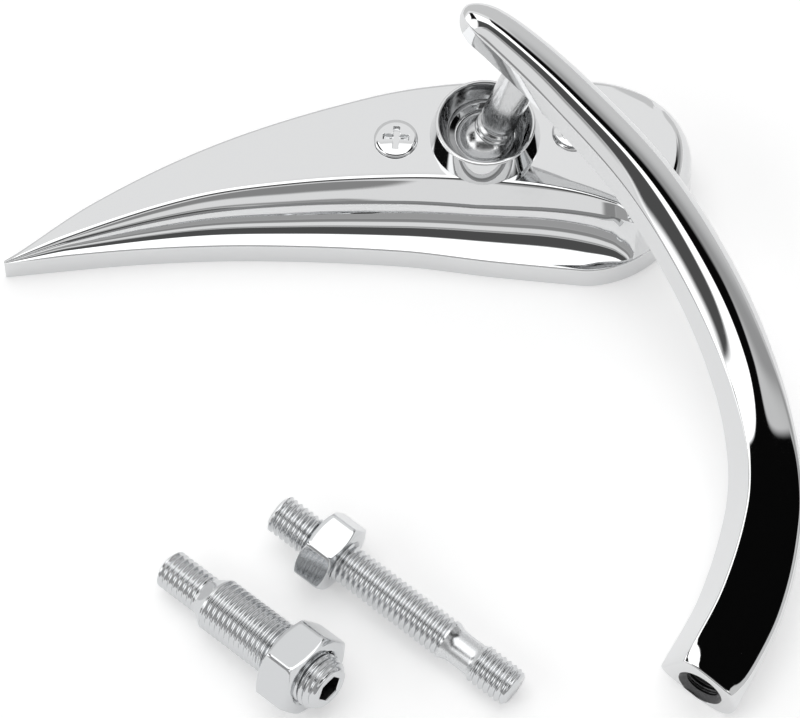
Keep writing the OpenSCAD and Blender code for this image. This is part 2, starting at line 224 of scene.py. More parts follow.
def fillet(points, radii, steps=5):
    """An open polyline with its inner corners rounded: radii holds one radius for each point."""
    out = []
    for i, (p, radius) in enumerate(zip(points, radii)):
        p = np.array(p, float)
        if radius == 0 or i in (0, len(points) - 1):
            out.append(tuple(p))
            continue
        before, after = np.array(points[i - 1], float) - p, np.array(points[i + 1], float) - p
        reach = min(radius, 0.45 * np.linalg.norm(before), 0.45 * np.linalg.norm(after))
        a, b = p + unit(before) * reach, p + unit(after) * reach
        for k in range(steps + 1):
            t = k / steps
            out.append(tuple((1 - t) ** 2 * a + 2 * t * (1 - t) * p + t * t * b))
    return out


# ---- materials ---------------------------------------------------------------------------------

def material(name):
    mat = bpy.data.materials.new(name)
    mat.use_nodes = True
    shader = mat.node_tree.nodes["Principled BSDF"]
    return mat, mat.node_tree, shader


def noise(tree, scale, detail=3.0, stretch=(1, 1, 1)):
    coords = tree.nodes.new("ShaderNodeTexCoord")
    mapping = tree.nodes.new("ShaderNodeMapping")
    mapping.inputs["Scale"].default_value = stretch
    tree.links.new(coords.outputs["Object"], mapping.inputs["Vector"])
    tex = tree.nodes.new("ShaderNodeTexNoise")
    tex.inputs["Scale"].default_value = scale
    tex.inputs["Detail"].default_value = detail
    tree.links.new(mapping.outputs["Vector"], tex.inputs["Vector"])
    return tex


def ranged(tree, source, low, high, start=0.35, end=0.65):
    node = tree.nodes.new("ShaderNodeMapRange")
    node.inputs["From Min"].default_value = start
    node.inputs["From Max"].default_value = end
    node.inputs["To Min"].default_value = low
    node.inputs["To Max"].default_value = high
    tree.links.new(source, node.inputs["Value"])
    return node.outputs["Result"]


def bump(tree, shader, source, distance):
    node = tree.nodes.new("ShaderNodeBump")
    node.inputs["Distance"].default_value = distance
    node.inputs["Strength"].default_value = 1.0
    tree.links.new(source, node.inputs["Height"])
    tree.links.new(node.outputs["Normal"], shader.inputs["Normal"])


def metal(name, colour, rough_low, rough_high, ripple, scale=900, stretch=(1, 1, 1)):
    """Bare or plated metal: roughness varies a little, and the surface ripples very slightly."""
    mat, tree, shader = material(name)
    shader.inputs["Base Color"].default_value = (*colour, 1)
    shader.inputs["Metallic"].default_value = 1
    grain = noise(tree, scale, 4, stretch)
    tree.links.new(ranged(tree, grain.outputs["Fac"], rough_low, rough_high), shader.inputs["Roughness"])
    wave = noise(tree, 45, 2)
    bump(tree, shader, wave.outputs["Fac"], ripple)
    return mat


def dull(name, colour, rough, grain_scale, grain_depth, vary=0.2):
    """Rubber or plastic with a fine grain and slightly uneven colour."""
    mat, tree, shader = material(name)
    shader.inputs["Roughness"].default_value = rough
    patch = noise(tree, 120, 3)
    ramp = tree.nodes.new("ShaderNodeValToRGB")
    ramp.color_ramp.elements[0].color = (*[c * (1 - vary) for c in colour], 1)
    ramp.color_ramp.elements[1].color = (*[min(1, c * (1 + vary)) for c in colour], 1)
    tree.links.new(patch.outputs["Fac"], ramp.inputs["Fac"])
    tree.links.new(ramp.outputs["Color"], shader.inputs["Base Color"])
    grain = noise(tree, grain_scale, 2)
    bump(tree, shader, grain.outputs["Fac"], grain_depth)
    return mat


CHROME = metal("chrome", (0.7, 0.705, 0.71), 0.015, 0.05, 0.000004)
# Darker copy of the chrome, used only inside the boss recess: painted shade in the recess.
RECESS_SHADE_CHROME = metal("chrome_with_painted_recess_shade", (0.42, 0.425, 0.43), 0.02, 0.08, 0.000006)
SATIN = metal("satin_steel", (0.62, 0.625, 0.63), 0.12, 0.26, 0.000006, 2600, (1, 1, 0.25))
ZINC = metal("bright_zinc", (0.62, 0.63, 0.64), 0.05, 0.12, 0.000008, 1500)
SOFT_ZINC = metal("plain_zinc", (0.66, 0.67, 0.68), 0.22, 0.3, 0.000008, 1500)
SPRING = metal("spring_steel", (0.36, 0.37, 0.4), 0.22, 0.4, 0.000006, 1800)
PLATED = metal("zinc_plate", (0.58, 0.59, 0.6), 0.15, 0.35, 0.00001, 1200)
# Near-black metal for the tapped hole and the hex socket: painted shade inside the holes.
PAINTED_HOLE_SHADE = metal("painted_hole_shade", (0.09, 0.09, 0.092), 0.25, 0.45, 0.000006, 1800)
GLASS = metal("mirror_glass", (0.9, 0.92, 0.93), 0.0, 0.012, 0.000001, 300)
RUBBER = dull("rubber", (0.02, 0.02, 0.022), 0.6, 2200, 0.00002)
FOAM = dull("foam", (0.04, 0.04, 0.045), 0.9, 1500, 0.0002)
ACETAL = dull("acetal", (0.72, 0.69, 0.6), 0.42, 1800, 0.00001, 0.04)

for node, mat in {
    "mirror_glass": GLASS, "rim_seal": RUBBER, "glass_pad": FOAM, "upper_seat_ring": ACETAL,
    "lower_seat_cup": ACETAL, "disc_spring_lower": SPRING, "disc_spring_upper": SPRING,
    "clamp_plate": PLATED,
}.items():
    mesh = NODES[node].data
    mesh.materials.clear()
    mesh.materials.append(mat)
    mesh.shade_smooth()
    mesh.set_sharp_from_angle(angle=math.radians(30))


# ---- head --------------------------------------------------------------------------------------

def lobe(x, length):
    """Half-ellipse of the round end: 1 at the widest place, 0 at the end."""
    return math.sqrt(max(0.0, 1 - (max(0.0, x - LOBE_X) / length) ** 2))


def front_y(x):
    return curve(FRONT, x) if x < LOBE_X else mix(LOBE_Y, LOBE_FRONT, lobe(x, LOBE_L))


def back_y(x):
    return curve(BACK, x) if x < LOBE_X else mix(LOBE_Y, LOBE_BACK, lobe(x, LOBE_L))


def top_z(x):
    """Height of the plate, which droops towards the tip."""
    u = max(0.0, (DROOP_X - x) / (DROOP_X - TIP_X))
    return mix(PLATE_Z, TIP_TOP_Z, u * u)


def reach(x, y):
    """How far out a place lies: 0 on the middle line of the round end, 1 on the outline."""
    side = LOBE_BACK - LOBE_Y if y > LOBE_Y else LOBE_Y - LOBE_FRONT
    return math.hypot(max(0.0, x - LOBE_X) / LOBE_L, (y - LOBE_Y) / side)


def roll(t):
    """Drop of the rounded edge, from 0 at its start to 1 at the outline."""
    return 1 - math.sqrt(max(0.0, 1 - clamp01(t) ** 2.1))


def plate_drop(x, y):
    """Drop of the plate towards the outline of the round end."""
    start = 1 - ROLL_W / (LOBE_BACK - LOBE_Y)
    return ROLL_H * roll((reach(x, y) - start) / (1 - start)) if x > LOBE_X else 0.0


def wall_z(x):
    return mix(TIP_WALL_H, WALL_H, clamp01((x - TIP_X) / 12))


def roll_growth(x):
    """How far the rounded back edge has grown: 0 along the body, 1 at the round end."""
    grow_from = -20
    return clamp01((x - grow_from) / (LOBE_X - grow_from))


def roll_w(x):
    return mix(1.0, ROLL_W, roll_growth(x) ** 1.3)


def roll_h(x):
    return mix(1.4, ROLL_H, roll_growth(x) ** 1.5)


def plate_front_y(x):
    edge = mix(LOBE_Y, LOBE_FRONT + ROLL_L, lobe(x, LOBE_L))
    return mix(curve(PLATE, min(x, PLATE_END_X)), edge, ease((x - 25) / 7))


def plate_back_y(x):
    return back_y(x) - roll_w(x) * lobe(x, LOBE_L)


def scoop(x):
    """How hollow the scoop is: 1 along the body, falling to 0 where it runs out in the round end."""
    fade_from, fade_length = 22, 7
    return 1.0 if x < fade_from else math.sqrt(max(0.0, 1 - ((x - fade_from) / fade_length) ** 2))


def head_section(x):
    """One cross-section of the head's skin at x, as (y, z), from the front rim round to the back rim."""
    yf, yb = front_y(x), back_y(x)
    zw = wall_z(x)
    # Front and back edges of the plate, and the crease between the scoop and the facet above it
    pf = max(plate_front_y(x), yf + 0.02)
    pb = max(min(plate_back_y(x), yb - 0.05), pf + 0.02)
    zt = max(top_z(x) - plate_drop(x, pf), zw + 0.05)
    side = clamp01((x + 2) / 24)
    yc, zc = mix(pf, yf, mix(0.32, 0.23, side)), mix(zw, zt, mix(0.68, 0.78, side))
    soft = clamp01((yb - yf) / 6)
    deep = scoop(x)
    # Front wall and its rounded lip
    lip, lip_h = 0.35 * soft, 0.5
    points = [(yf, mix(0.0, zw - lip_h, k / 6)) for k in range(7)]
    for a in np.radians([20, 40, 60, 80]):
        points.append((yf + lip * (1 - math.cos(a)), zw - lip_h + lip_h * math.sin(a)))
    # Scoop
    for t in [k / 40 for k in range(41)]:
        a = t * math.pi / 2
        along, up = mix(t, math.sin(a), deep), mix(t, 1 - math.cos(a), deep)
        points.append((mix(yf + lip, yc, along), mix(zw, zc, up)))
    # Facet, slightly hollow towards the tip, and the plate's rounded front edge
    edge = 0.5 * soft
    facet = unit(np.array([pf - yc, zt - zc]) + 1e-6)
    hollow = 0.2 * (pf - yc) * clamp01((-4 - x) / 24)
    for t in [k / 12 for k in range(1, 13)]:
        z = mix(zc, zt - facet[1] * edge, t) - hollow * t * (1 - t)
        points.append((mix(yc, pf - facet[0] * edge, t), z))
    for t in (0.2, 0.4, 0.6, 0.8, 1.0):
        back = edge * (1 - t) ** 2
        points.append((pf - facet[0] * back + edge * t * t, zt - facet[1] * back))
    # Plate and its rolled back edge
    plain = top_z(x)
    turns = [math.sin(a) for a in np.radians(np.arange(3, 91, 3))]
    if x <= LOBE_X:
        dz = min(roll_h(x), plain - zw) * clamp01((yb - pb) * 3)
        points += [(mix(pf + edge, pb, k / 14), plain) for k in range(1, 15)]
        points += [(mix(pb, yb, t), plain - dz * roll(t)) for t in turns]
    else:
        places = list(np.linspace(pf + edge, pb, 15)[1:]) + [mix(pb, yb, t) for t in turns]
        points += [(y, plain - plate_drop(x, y)) for y in places]
    low = points[-1][1]
    points += [(yb, mix(low, 0.0, k / 8)) for k in range(1, 9)]
    return points


def head_stations():
    body = [TIP_X + (LOBE_X - TIP_X) * (i / 150) for i in range(150)]
    return body + [mix(LOBE_X, END_X - 0.02, math.sin(math.pi / 2 * i / 60)) for i in range(61)]


def outline(inset):
    """The head's outline seen from above, moved inwards."""
    xs = [mix(TIP_X + 6 * inset, LOBE_X, i / 90) for i in range(90)]
    xs += [mix(LOBE_X, END_X - inset - 0.05, math.sin(math.pi / 2 * i / 30)) for i in range(31)]
    front = [(x, front_y(x + inset * 0.5) + inset) for x in xs]
    back = [(x, back_y(x + inset * 0.5) - inset) for x in reversed(xs)]
    return front + back


def build_head():
    shape = Shape()
    stations = head_stations()
    rings = [[(x, y, z) for y, z in head_section(x)] for x in stations]
    shape.skin(rings, HEAD_AT, closed=False, cap_start=True, cap_end=True, flip=True)
    # The face round the glass, the wall behind it and the ledge that the pad lies on
    outer = [(r[0][0], r[0][1], 0.0) for r in rings]
    outer += [(r[-1][0], r[-1][1], 0.0) for r in reversed(rings)]
    inner = outline(GLASS_INSET)
    n = 240
    rim = [resample(outer, n), resample([(x, y, 0.0) for x, y in inner], n)]
    rim.append([(x, y, LEDGE_Z) for x, y, z in rim[1]])
    shape.skin(rim, HEAD_AT, cap_end=True, flip=True)
    make("head_skin", shape.verts, shape.faces, "head", CHROME, ["head_housing"], 28)


def resample(loop, n):
    """n points spaced evenly round a closed loop."""
    pts = np.array(loop + [loop[0]], float)
    run = np.concatenate([[0], np.cumsum(np.linalg.norm(np.diff(pts, axis=0), axis=1))])
    at = np.linspace(0, run[-1], n, endpoint=False)
    return [tuple(np.interp(a, run, pts[:, k]) for k in range(3)) for a in at]


def build_boss():
    n = 160
    rim = 0.4
    rim_r = BOSS_R - 0.7
    lip = (9.2, BOSS_Z)
    outer = [(BOSS_R + 0.1, PLATE_Z - 2.5), (BOSS_R + 0.3, PLATE_Z + 0.5), (rim_r, BOSS_Z - rim)]
    for a in np.radians(range(5, 91, 6)):
        outer.append((rim_r - rim + rim * math.cos(a), BOSS_Z - rim + rim * math.sin(a)))
    inner = fillet(
        [lip, (8.95, BOSS_Z - 0.15), (8.75, BOSS_Z - 0.9), (8.25, HOLE_TOP_Z + 2.4),
         (7.4, HOLE_TOP_Z + 0.6), (HOLE_R, HOLE_TOP_Z), (HOLE_R, SEAT_TOP_Z - 0.4)],
        [0, 0.15, 0.3, 0.8, 0.6, 0.15, 0],
    )
    shape = Shape()
    shape.skin(lathe(outer + [lip], n), HEAD_AT)
    make("boss", shape.verts, shape.faces, "head", CHROME, [], 50)
    recess = Shape()
    recess.skin(lathe(inner, n), HEAD_AT)
    # The recess wall gets the darker chrome: painted shade inside the recess.
    make("boss_recess", recess.verts, recess.faces, "head", RECESS_SHADE_CHROME, [], 50)


build_head()
build_boss()


# ---- clamp screws: oval heads with a cross recess ----------------------------------------------

def cross_depth(x, y):
    """Depth of the cross recess under the head's surface at a place measured from its middle."""
    deepest, arm_length, arm_half_width, middle_r = 1.7, 2.6, 0.62, 1.1
    share = ease((middle_r - math.hypot(x, y)) / 0.4)
    for along, across in ((abs(x), abs(y)), (abs(y), abs(x))):
        arm = ease((arm_length - along) / 0.5)
        wall = math.sqrt(max(0.0, 1 - (across / arm_half_width) ** 2))
        share = max(share, arm * wall)
    return deepest * share


def build_screw(name, side, cross_angle):
    n, rows = 192, 64
    centre = np.array([math.cos(SCREW_LINE), math.sin(SCREW_LINE), 0]) * SCREW_PITCH * side
    place = Place(turn("Z", math.radians(cross_angle)), [BALL[0], BALL[1], 0] + centre)
    dome_r, crown = 30.0, 0.85
    edge_w, edge_h = 0.9, 0.45
    under = PLATE_Z - 0.1
    rings = lathe([(SCREW_R, 4.6), (SCREW_R, under), (SCREW_HEAD_R, under)], n)
    for i in range(rows + 1):
        r = SCREW_HEAD_R * (1 - i / rows)
        z = PLATE_Z + crown - dome_r + math.sqrt(dome_r ** 2 - r * r)
        inside = clamp01((SCREW_HEAD_R - r) / edge_w)
        z -= edge_h * (1 - math.sqrt(inside * (2 - inside)))
        rings.append([(x, y, z - cross_depth(x, y)) for x, y, z in circle(max(r, AXIS_R), z, n)])
    shape = Shape()
    shape.skin(rings, place, cap_start=True, cap_end=True)
    make(name, shape.verts, shape.faces, "head", CHROME, [name.replace("screw_piece", "clamp_screw")],
         55)


build_screw("screw_piece_left", -1, -4)
build_screw("screw_piece_right", 1, 31)


# ---- ball stud ---------------------------------------------------------------------------------

def build_ball_stud():
    shoulder = STUD_L - 3.1
    tenon_r, tenon_l = 2.5, 4.2
    neck_r = SHANK_R - 0.55
    ball = [(BALL_R * math.sin(a), -BALL_R * math.cos(a)) for a in np.radians(np.arange(0, 151, 3))]
    body = fillet(
        [(3.6, 6.02), (3.95, 6.15), (3.95, 6.55), (3.5, 6.85), (3.5, 7.1), (3.9, 7.35), (3.9, 7.85),
         (neck_r, 8.25), (neck_r, 9.0), (SHANK_R, 9.6), (SHANK_R, shoulder - 0.3), (SHANK_R - 0.3, shoulder),
         (tenon_r, shoulder), (tenon_r, shoulder + tenon_l - 0.3), (tenon_r - 0.3, shoulder + tenon_l)],
        [0, 0.15, 0.2, 0.15, 0.15, 0.2, 0.2, 0.15, 0.15, 0.3, 0.1, 0.1, 0, 0.1, 0],
        3,
    )
    shape = Shape()
    shape.skin(lathe(ball + body, 112), STUD_AT, cap_start=True, cap_end=True)
    make("ball_stud_piece", shape.verts, shape.faces, "ball_stud", SATIN, ["ball_stud"], 40)


build_ball_stud()


# ---- arm ---------------------------------------------------------------------------------------

# Both outlines of the arm in its own plane: station from the tapped end to the point, u, v
INNER = [(0, -6.2, 4.5), (0.106, 0.6, 18.4), (0.23, 5, 34.8), (0.31, 5.2, 45.7), (0.412, 1.7, 59.5),
         (0.54, -6.3, 75.8), (0.69, -19.1, 93.6), (0.834, -34.9, 108.3), (0.939, -47.4, 118.1),
         (1, -55.2, 123.4)]
OUTER = [(0, 7.2, -3.5), (0.106, 15.2, 14.6), (0.23, 18.9, 33.8), (0.31, 18, 47.6), (0.412, 13.4, 64),
         (0.54, 4.2, 82.8), (0.69, -10.2, 102.1), (0.834, -27.6, 116.8), (0.939, -41.6, 125.9),
         (1, -51.6, 130)]
# Station, underside, height of the inner edge and its inset, slopes inside and outside the ridge,
# its roundness, width of the outer shoulder
ARM_SHAPE = [(0, -6.1, 5.2, 1.4, 0.04, 0.06, 1.6, 3.2), (0.05, -5.8, 5.4, 1, 0.03, 0.03, 1.5, 2.4),
             (0.23, -5.2, 4.9, 1, 0.03, 0.05, 1.5, 2.2), (0.33, -4.5, 4, 0.9, 0.15, 0.14, 1.6, 2.2),
             (0.42, -3.9, 3, 0.6, 0.8, 0.36, 2.6, 2.6), (0.52, -3.5, 2.4, 0.4, 1.05, 0.46, 3, 3),
             (0.72, -3, 2, 0.4, 1.05, 0.5, 2.2, 3.2), (0.85, -2.9, 1.9, 0.4, 1.05, 0.5, 1.8, 3),
             (1, -2.9, 1.9, 0.4, 1.05, 0.5, 1.4, 2.4)]
NOSE = 0.965  # station where the point starts to round off
RIDGE = 0.32  # place of the ridge, as a share of the width
CORNER_LENGTH = 0.032
CORNER_WIDTH = 3.0
CORNER_HEIGHT = 4.0


def bend(a, b, c, steps):
    """Smooth corner from a to c that would turn at b."""
    a, b, c = (np.array(q, float) for q in (a, b, c))
    return [tuple((1 - t) ** 2 * a + 2 * t * (1 - t) * b + t * t * c) for t in np.linspace(0, 1, steps + 1)]


def arm_section(w, low, edge, inset, lean_in, lean_out, soft, shoulder):
    """One cross-section of the arm as (across, up), from the inner edge round the top and back below."""

    def crown(x):
        h = x - RIDGE * w
        return -(lean_out - lean_in) / 2 * h - (lean_out + lean_in) / 2 * math.hypot(h, soft)

    base = edge - crown(inset)
    top = [(x, base + crown(x)) for x in np.linspace(inset, w - shoulder, 34)]
    side = top[-1][1] - lean_out * shoulder
    foot = mix(low, edge, 0.38)
    sag = 0.11 * (edge - low)
    inner = bend((0.3 * w, low), (0.06 * w, low), (0, low + sag), 4)
    brim = (0.94 * inset, edge - 0.3)
    wall = [(brim[0] * t, mix(low + sag, brim[1], t)) for t in np.linspace(0, 1, 12)[1:-1]]
    brow = bend(brim, top[0], top[1], 4)
    outer = bend(top[-1], (w, side), (w, foot), 14)
    under = bend((w, foot), (w, low), (0.55 * w, low), 12)
    belly = [(x, low) for x in np.linspace(0.55 * w, 0.3 * w, 6)[1:-1]]
    return inner + wall + brow + top[2:] + outer[1:] + under[1:] + belly


def corner_drop(x, w, s):
    """How far the two corners of the top round off next to the tapped end."""
    near_end = clamp01(1 - s / CORNER_LENGTH)
    left = clamp01(1 - (x - 1.4) / CORNER_WIDTH)
    right = clamp01(1 - (w - 1.6 - x) / CORNER_WIDTH)
    return near_end ** 2 * (1.1 * left ** 2 + 1.5 * right ** 2)


def arm_ring(s):
    """The arm's cross-section at station s, as (u, v, up) in the arm's own plane."""
    p = np.array([curve(INNER, s, 1), curve(INNER, s, 2)])
    o = np.array([curve(OUTER, s, 1), curve(OUTER, s, 2)])
    w = float(np.linalg.norm(o - p))
    d = (o - p) / w
    section = arm_section(w, *[curve(ARM_SHAPE, s, column) for column in range(1, 8)])
    n = max(0.0, s - NOSE) / (1 - NOSE)
    shrink = math.sqrt(max(0.0004, 1 - n * n))
    ring = []
    for x, z in section:
        z -= corner_drop(x, w, s) * clamp01(z / CORNER_HEIGHT)
        across = mix(w / 2, x, shrink)
        ring.append((p[0] + d[0] * across, p[1] + d[1] * across, z * shrink))
    return ring


END_DIR = unit(np.array([OUTER[0][1] - INNER[0][1], OUTER[0][2] - INNER[0][2]]))
HOLE_AT = 0.5
HOLE_UP = -1.3
MOUTH_R = 4.6
MOUTH_DEPTH = 0.08
HOLE_UV = np.array([mix(INNER[0][1], OUTER[0][1], HOLE_AT), mix(INNER[0][2], OUTER[0][2], HOLE_AT)])
IN_DIR = np.array([-END_DIR[1], END_DIR[0]])


def hole_ring(radius, depth, angles):
    """Ring round the tapped hole's axis, at a depth into the arm, in the arm's own plane."""
    ring = []
    for a in angles:
        across, up = radius * math.cos(a), radius * math.sin(a)
        u = HOLE_UV[0] + END_DIR[0] * across + IN_DIR[0] * depth
        v = HOLE_UV[1] + END_DIR[1] * across + IN_DIR[1] * depth
        ring.append((u, v, HOLE_UP + up))
    return ring


def build_arm():
    shape = Shape()
    stations = [NOSE * i / 150 for i in range(1, 150)]
    stations += [mix(NOSE, 1, math.sin(a)) for a in np.radians(range(0, 91, 6))]
    first = [np.array(q) for q in arm_ring(0)]
    middle = np.mean(first, axis=0)
    soft = 0.5
    rings = []
    # The end's rounded edge, from the flat face out to the first section
    for a in [math.pi / 2 * k / 4 for k in range(5)]:
        depth = np.append(IN_DIR, 0) * soft * (1 - math.cos(a))
        ring = []
        for q in first:
            inward = unit(middle - q)
            inward[:2] = END_DIR * float(inward[:2] @ END_DIR)
            ring.append(tuple(q + inward * soft * (1 - math.sin(a)) + depth))
        rings.append(ring)
    rings += [arm_ring(s) for s in stations]
    shape.skin(rings, ARM_AT, cap_end=True)
    # End face and the countersunk mouth of the hole
    face = rings[0]
    angles = []
    for q in face:
        across = (q[0] - HOLE_UV[0]) * END_DIR[0] + (q[1] - HOLE_UV[1]) * END_DIR[1]
        angles.append(math.atan2(q[2] - HOLE_UP, across))
    mouth = [hole_ring(r, d, angles) for r, d in ((MOUTH_R + 0.1, 0.0), (MOUTH_R, MOUTH_DEPTH))]
    shape.skin([face] + mouth, ARM_AT, flip=True)
    make("arm_piece", shape.verts, shape.faces, "arm", CHROME, ["arm"], 38)


build_arm()


# ---- threads -----------------------------------------------------------------------------------

def thread_form(phase):
    """Depth of a rolled thread, from 0 at its round crest to 1 at its root."""
    wave = (1 - math.cos(2 * math.pi * phase)) / 2
    return mix(wave, ease(wave), 0.35)


def threaded(radius, z0, z1, depth, fade, n, taper=0.0):
    """Rings of a helical thread between two heights, fading in and out at its ends.

    The taper is how much smaller the radius gets over the last turn and a half.
    """
    rows_per_turn = 14
    count = int((z1 - z0) / PITCH * rows_per_turn)
    rings = []
    for i in range(count + 1):
        z = mix(z0, z1, i / count)
        full = min(ease((z - z0) / fade), ease((z1 - z) / fade))
        base = radius - taper * clamp01((z - z1) / (1.5 * PITCH) + 1) ** 2
        radii = [base - depth * full * thread_form(z / PITCH - j / n) for j in range(n)]
        rings.append(around(radii, [z] * n))
    return rings


def build_thread_in_arm():
    n = 64
    sink = 1.1
    rings = lathe([(MOUTH_R, MOUTH_DEPTH), (TAP_R + 0.1, sink)], n)
    rings += threaded(TAP_R, sink, TAP_DEPTH, -0.55, 0.6, n)
    sit = Place(
        ARM_TURN @ np.column_stack([np.append(END_DIR, 0), [0, 0, 1], np.append(IN_DIR, 0)]),
        ARM_END + ARM_TURN @ np.array([HOLE_UV[0], HOLE_UV[1], HOLE_UP]),
    )
    shape = Shape()
    shape.skin(rings, sit, cap_end=True)
    # The tapped hole gets the near-black metal: painted shade inside the hole.
    make("arm_thread", shape.verts, shape.faces, "arm", PAINTED_HOLE_SHADE, [], 60)


build_thread_in_arm()


# ---- loose studs and their nuts ----------------------------------------------------------------

LONG_L = 56.6
SHORT_L = 41.6
LONG_DEPTH = 0.4
SHORT_DEPTH = 0.46
LONG_HEADING = -38.3
SHORT_HEADING = -42.1
CHAMFER = 0.9
LONG_NUT = {"af": 13.5, "h": 6.6, "z": 9.3, "bore": THREAD_R + 0.05}
SHORT_NUT = {"af": 15.9, "h": 7.4, "z": 30.4, "bore": BIG_THREAD_R + 0.05}
LONG_AT = (-23.0, -37.1)
SHORT_AT = (-43.5, -46.9)
# Each stud lies on one end of its thread, at rest_z along it, and on a flat of its nut
long_rest_z = LONG_L - CHAMFER
short_rest_z = 0.8
long_lean = math.atan((LONG_NUT["af"] / 2 - THREAD_R) / (long_rest_z - LONG_NUT["z"] - LONG_NUT["h"]))
short_lean = math.atan((SHORT_NUT["af"] / 2 - THREAD_R) / (SHORT_NUT["z"] - short_rest_z))
LONG_PLACE = Place(
    turn("Z", math.radians(LONG_HEADING)) @ turn("Y", math.pi / 2 + long_lean),
    [*LONG_AT, THREAD_R * math.cos(long_lean) + long_rest_z * math.sin(long_lean)],
)
SHORT_PLACE = Place(
    turn("Z", math.radians(SHORT_HEADING)) @ turn("Y", math.pi / 2 - short_lean),
    [*SHORT_AT, THREAD_R * math.cos(short_lean) - short_rest_z * math.sin(short_lean)],
)


def build_long_stud():
    n = 56
    neck_r, neck_from, neck_to = 3.3, 41.0, 48.3
    shape = Shape()
    rings = lathe([(0.0, 0.0), (THREAD_R - 0.75, 0.0)], n)
    rings += threaded(THREAD_R, 0.6, neck_from, LONG_DEPTH, 0.8, n)
    shape.skin(rings, LONG_PLACE, cap_start=True)
    rings = threaded(THREAD_R, neck_to, LONG_L - 0.4, LONG_DEPTH, 0.6, n, 0.35)
    rings += lathe([(THREAD_R - 0.8, LONG_L)], n)
    shape.skin(rings, LONG_PLACE, cap_end=True)
    make("long_stud_piece", shape.verts, shape.faces, "long_stud", ZINC, ["long_stud"], 50)
    neck = fillet(
        [(THREAD_R, neck_from), (neck_r, 42.4), (neck_r, 47.4), (THREAD_R - 0.1, neck_to)], [0, 0.8, 0.8, 0]
    )
    bare = Shape()
    bare.skin(lathe(neck, n), LONG_PLACE)
    make("long_stud_neck", bare.verts, bare.faces, "long_stud", SOFT_ZINC, [], 50)


def hexagon(radius, n):
    """Radii of a hexagon in n directions, from the radius of the circle inside it."""
    sixth = math.pi / 3
    return [radius / math.cos((2 * math.pi * j / n + sixth / 2) % sixth - sixth / 2) for j in range(n)]


def build_short_stud():
    n = 60
    socket = 4.8 / 2
    rings = lathe([(0.0, 0.0), (THREAD_R - 0.75, 0.0)], n)
    rings += threaded(THREAD_R, 0.6, 10.2, LONG_DEPTH, 0.8, n)
    rings += lathe([(THREAD_R, 10.3), (BIG_THREAD_R - 0.1, 12.6)], n)
    rings += threaded(BIG_THREAD_R, 12.8, SHORT_L - 0.35, SHORT_DEPTH, 0.5, n, 1.1)
    rings += lathe([(BIG_THREAD_R - 1.25, SHORT_L - 0.12), (BIG_THREAD_R - 1.5, SHORT_L), (3.2, SHORT_L)], n)

    def hex_ring(extra, z):
        return around([r + extra for r in hexagon(socket, n)], [z] * n)

    rings += [hex_ring(0.3, SHORT_L), hex_ring(0.05, SHORT_L - 0.25)]
    shape = Shape()
    shape.skin(rings, SHORT_PLACE, cap_start=True)
    make("short_stud_piece", shape.verts, shape.faces, "short_stud", ZINC, ["short_stud"], 50)
    cup = Shape()
    deep = SHORT_L - 4.9
    rings = [hex_ring(0.05, SHORT_L - 0.25), hex_ring(0, SHORT_L - 0.6), hex_ring(0, deep)]
    rings += lathe([(1.6, deep), (0.0, deep - 1.1)], n)
    cup.skin(rings, SHORT_PLACE, cap_end=True)
    # The hex socket gets the near-black metal: painted shade inside the socket.
    make("short_stud_socket", cup.verts, cup.faces, "short_stud", PAINTED_HOLE_SHADE, [], 50)


def build_nut(name, nut, place, body):
    """Hexagon nut: both faces chamfered by a cone, corners slightly soft, a plain bore countersunk at both
    ends stands for the thread.
    """
    n = 144
    af, h, bore = nut["af"], nut["h"], nut["bore"]
    flat_r = af / 2 - 0.15
    corner = af / math.sqrt(3) - 0.12
    sides = [min(s, corner) for s in hexagon(af / 2, n)]
    slope = 1.05 * math.tan(math.radians(30))
    sink, soft = 0.55, 0.08

    def ring(radii, heights):
        return around(radii, [nut["z"] + z for z in heights])

    def round_ring(r, z):
        return ring([r] * n, [z] * n)

    cut = [max(0.12, (s - flat_r) * slope) for s in sides]
    rings = [round_ring(bore + sink, 0.0), round_ring(flat_r - 0.1, 0.0), round_ring(flat_r, 0.03)]
    rings.append(ring([s - 0.05 for s in sides], [c - soft / 2 for c in cut]))
    for k in range(9):
        rings.append(ring(sides, [mix(c + soft, h - c - soft, k / 8) for c in cut]))
    rings.append(ring([s - 0.05 for s in sides], [h - c + soft / 2 for c in cut]))
    rings += [round_ring(flat_r, h - 0.03), round_ring(flat_r - 0.1, h), round_ring(bore + sink, h)]
    rings += [round_ring(bore, z) for z in (h - sink, h * 0.5, sink)]
    rings.append(round_ring(bore + sink, 0.0))
    shape = Shape()
    shape.skin(rings, place)
    make(name, shape.verts, shape.faces, body, ZINC, [body], 24)


build_long_stud()
build_short_stud()
build_nut("long_nut_piece", LONG_NUT, LONG_PLACE, "long_stud_nut")
build_nut("short_nut_piece", SHORT_NUT, SHORT_PLACE, "short_stud_nut")


# ---- studio ------------------------------------------------------------------------------------

def build_floor():
    shape = Shape()
    n, floor_r, gap = 96, 520.0, 0.02
    rings = [circle(floor_r * k / 12, 0, n) for k in range(12, 0, -1)] + [circle(AXIS_R, 0, n)]
    shape.skin(rings, Place(np.eye(3), ORIGIN - [0, 0, gap]), cap_end=True)
    mesh = bpy.data.meshes.new("floor")
    mesh.from_pydata([tuple(v) for v in shape.verts], [], shape.faces)
    floor = bpy.data.objects.new("floor", mesh)
    bpy.context.scene.collection.objects.link(floor)
    mat, _, shader = material("pale_floor")
    shader.inputs["Base Color"].default_value = (0.86, 0.86, 0.86, 1)
    shader.inputs["Emission Color"].default_value = (1, 1, 1, 1)
    shader.inputs["Emission Strength"].default_value = 0.3
    shader.inputs["Roughness"].default_value = 0.9
    shader.inputs["Specular IOR Level"].default_value = 0.1
    mesh.materials.append(mat)


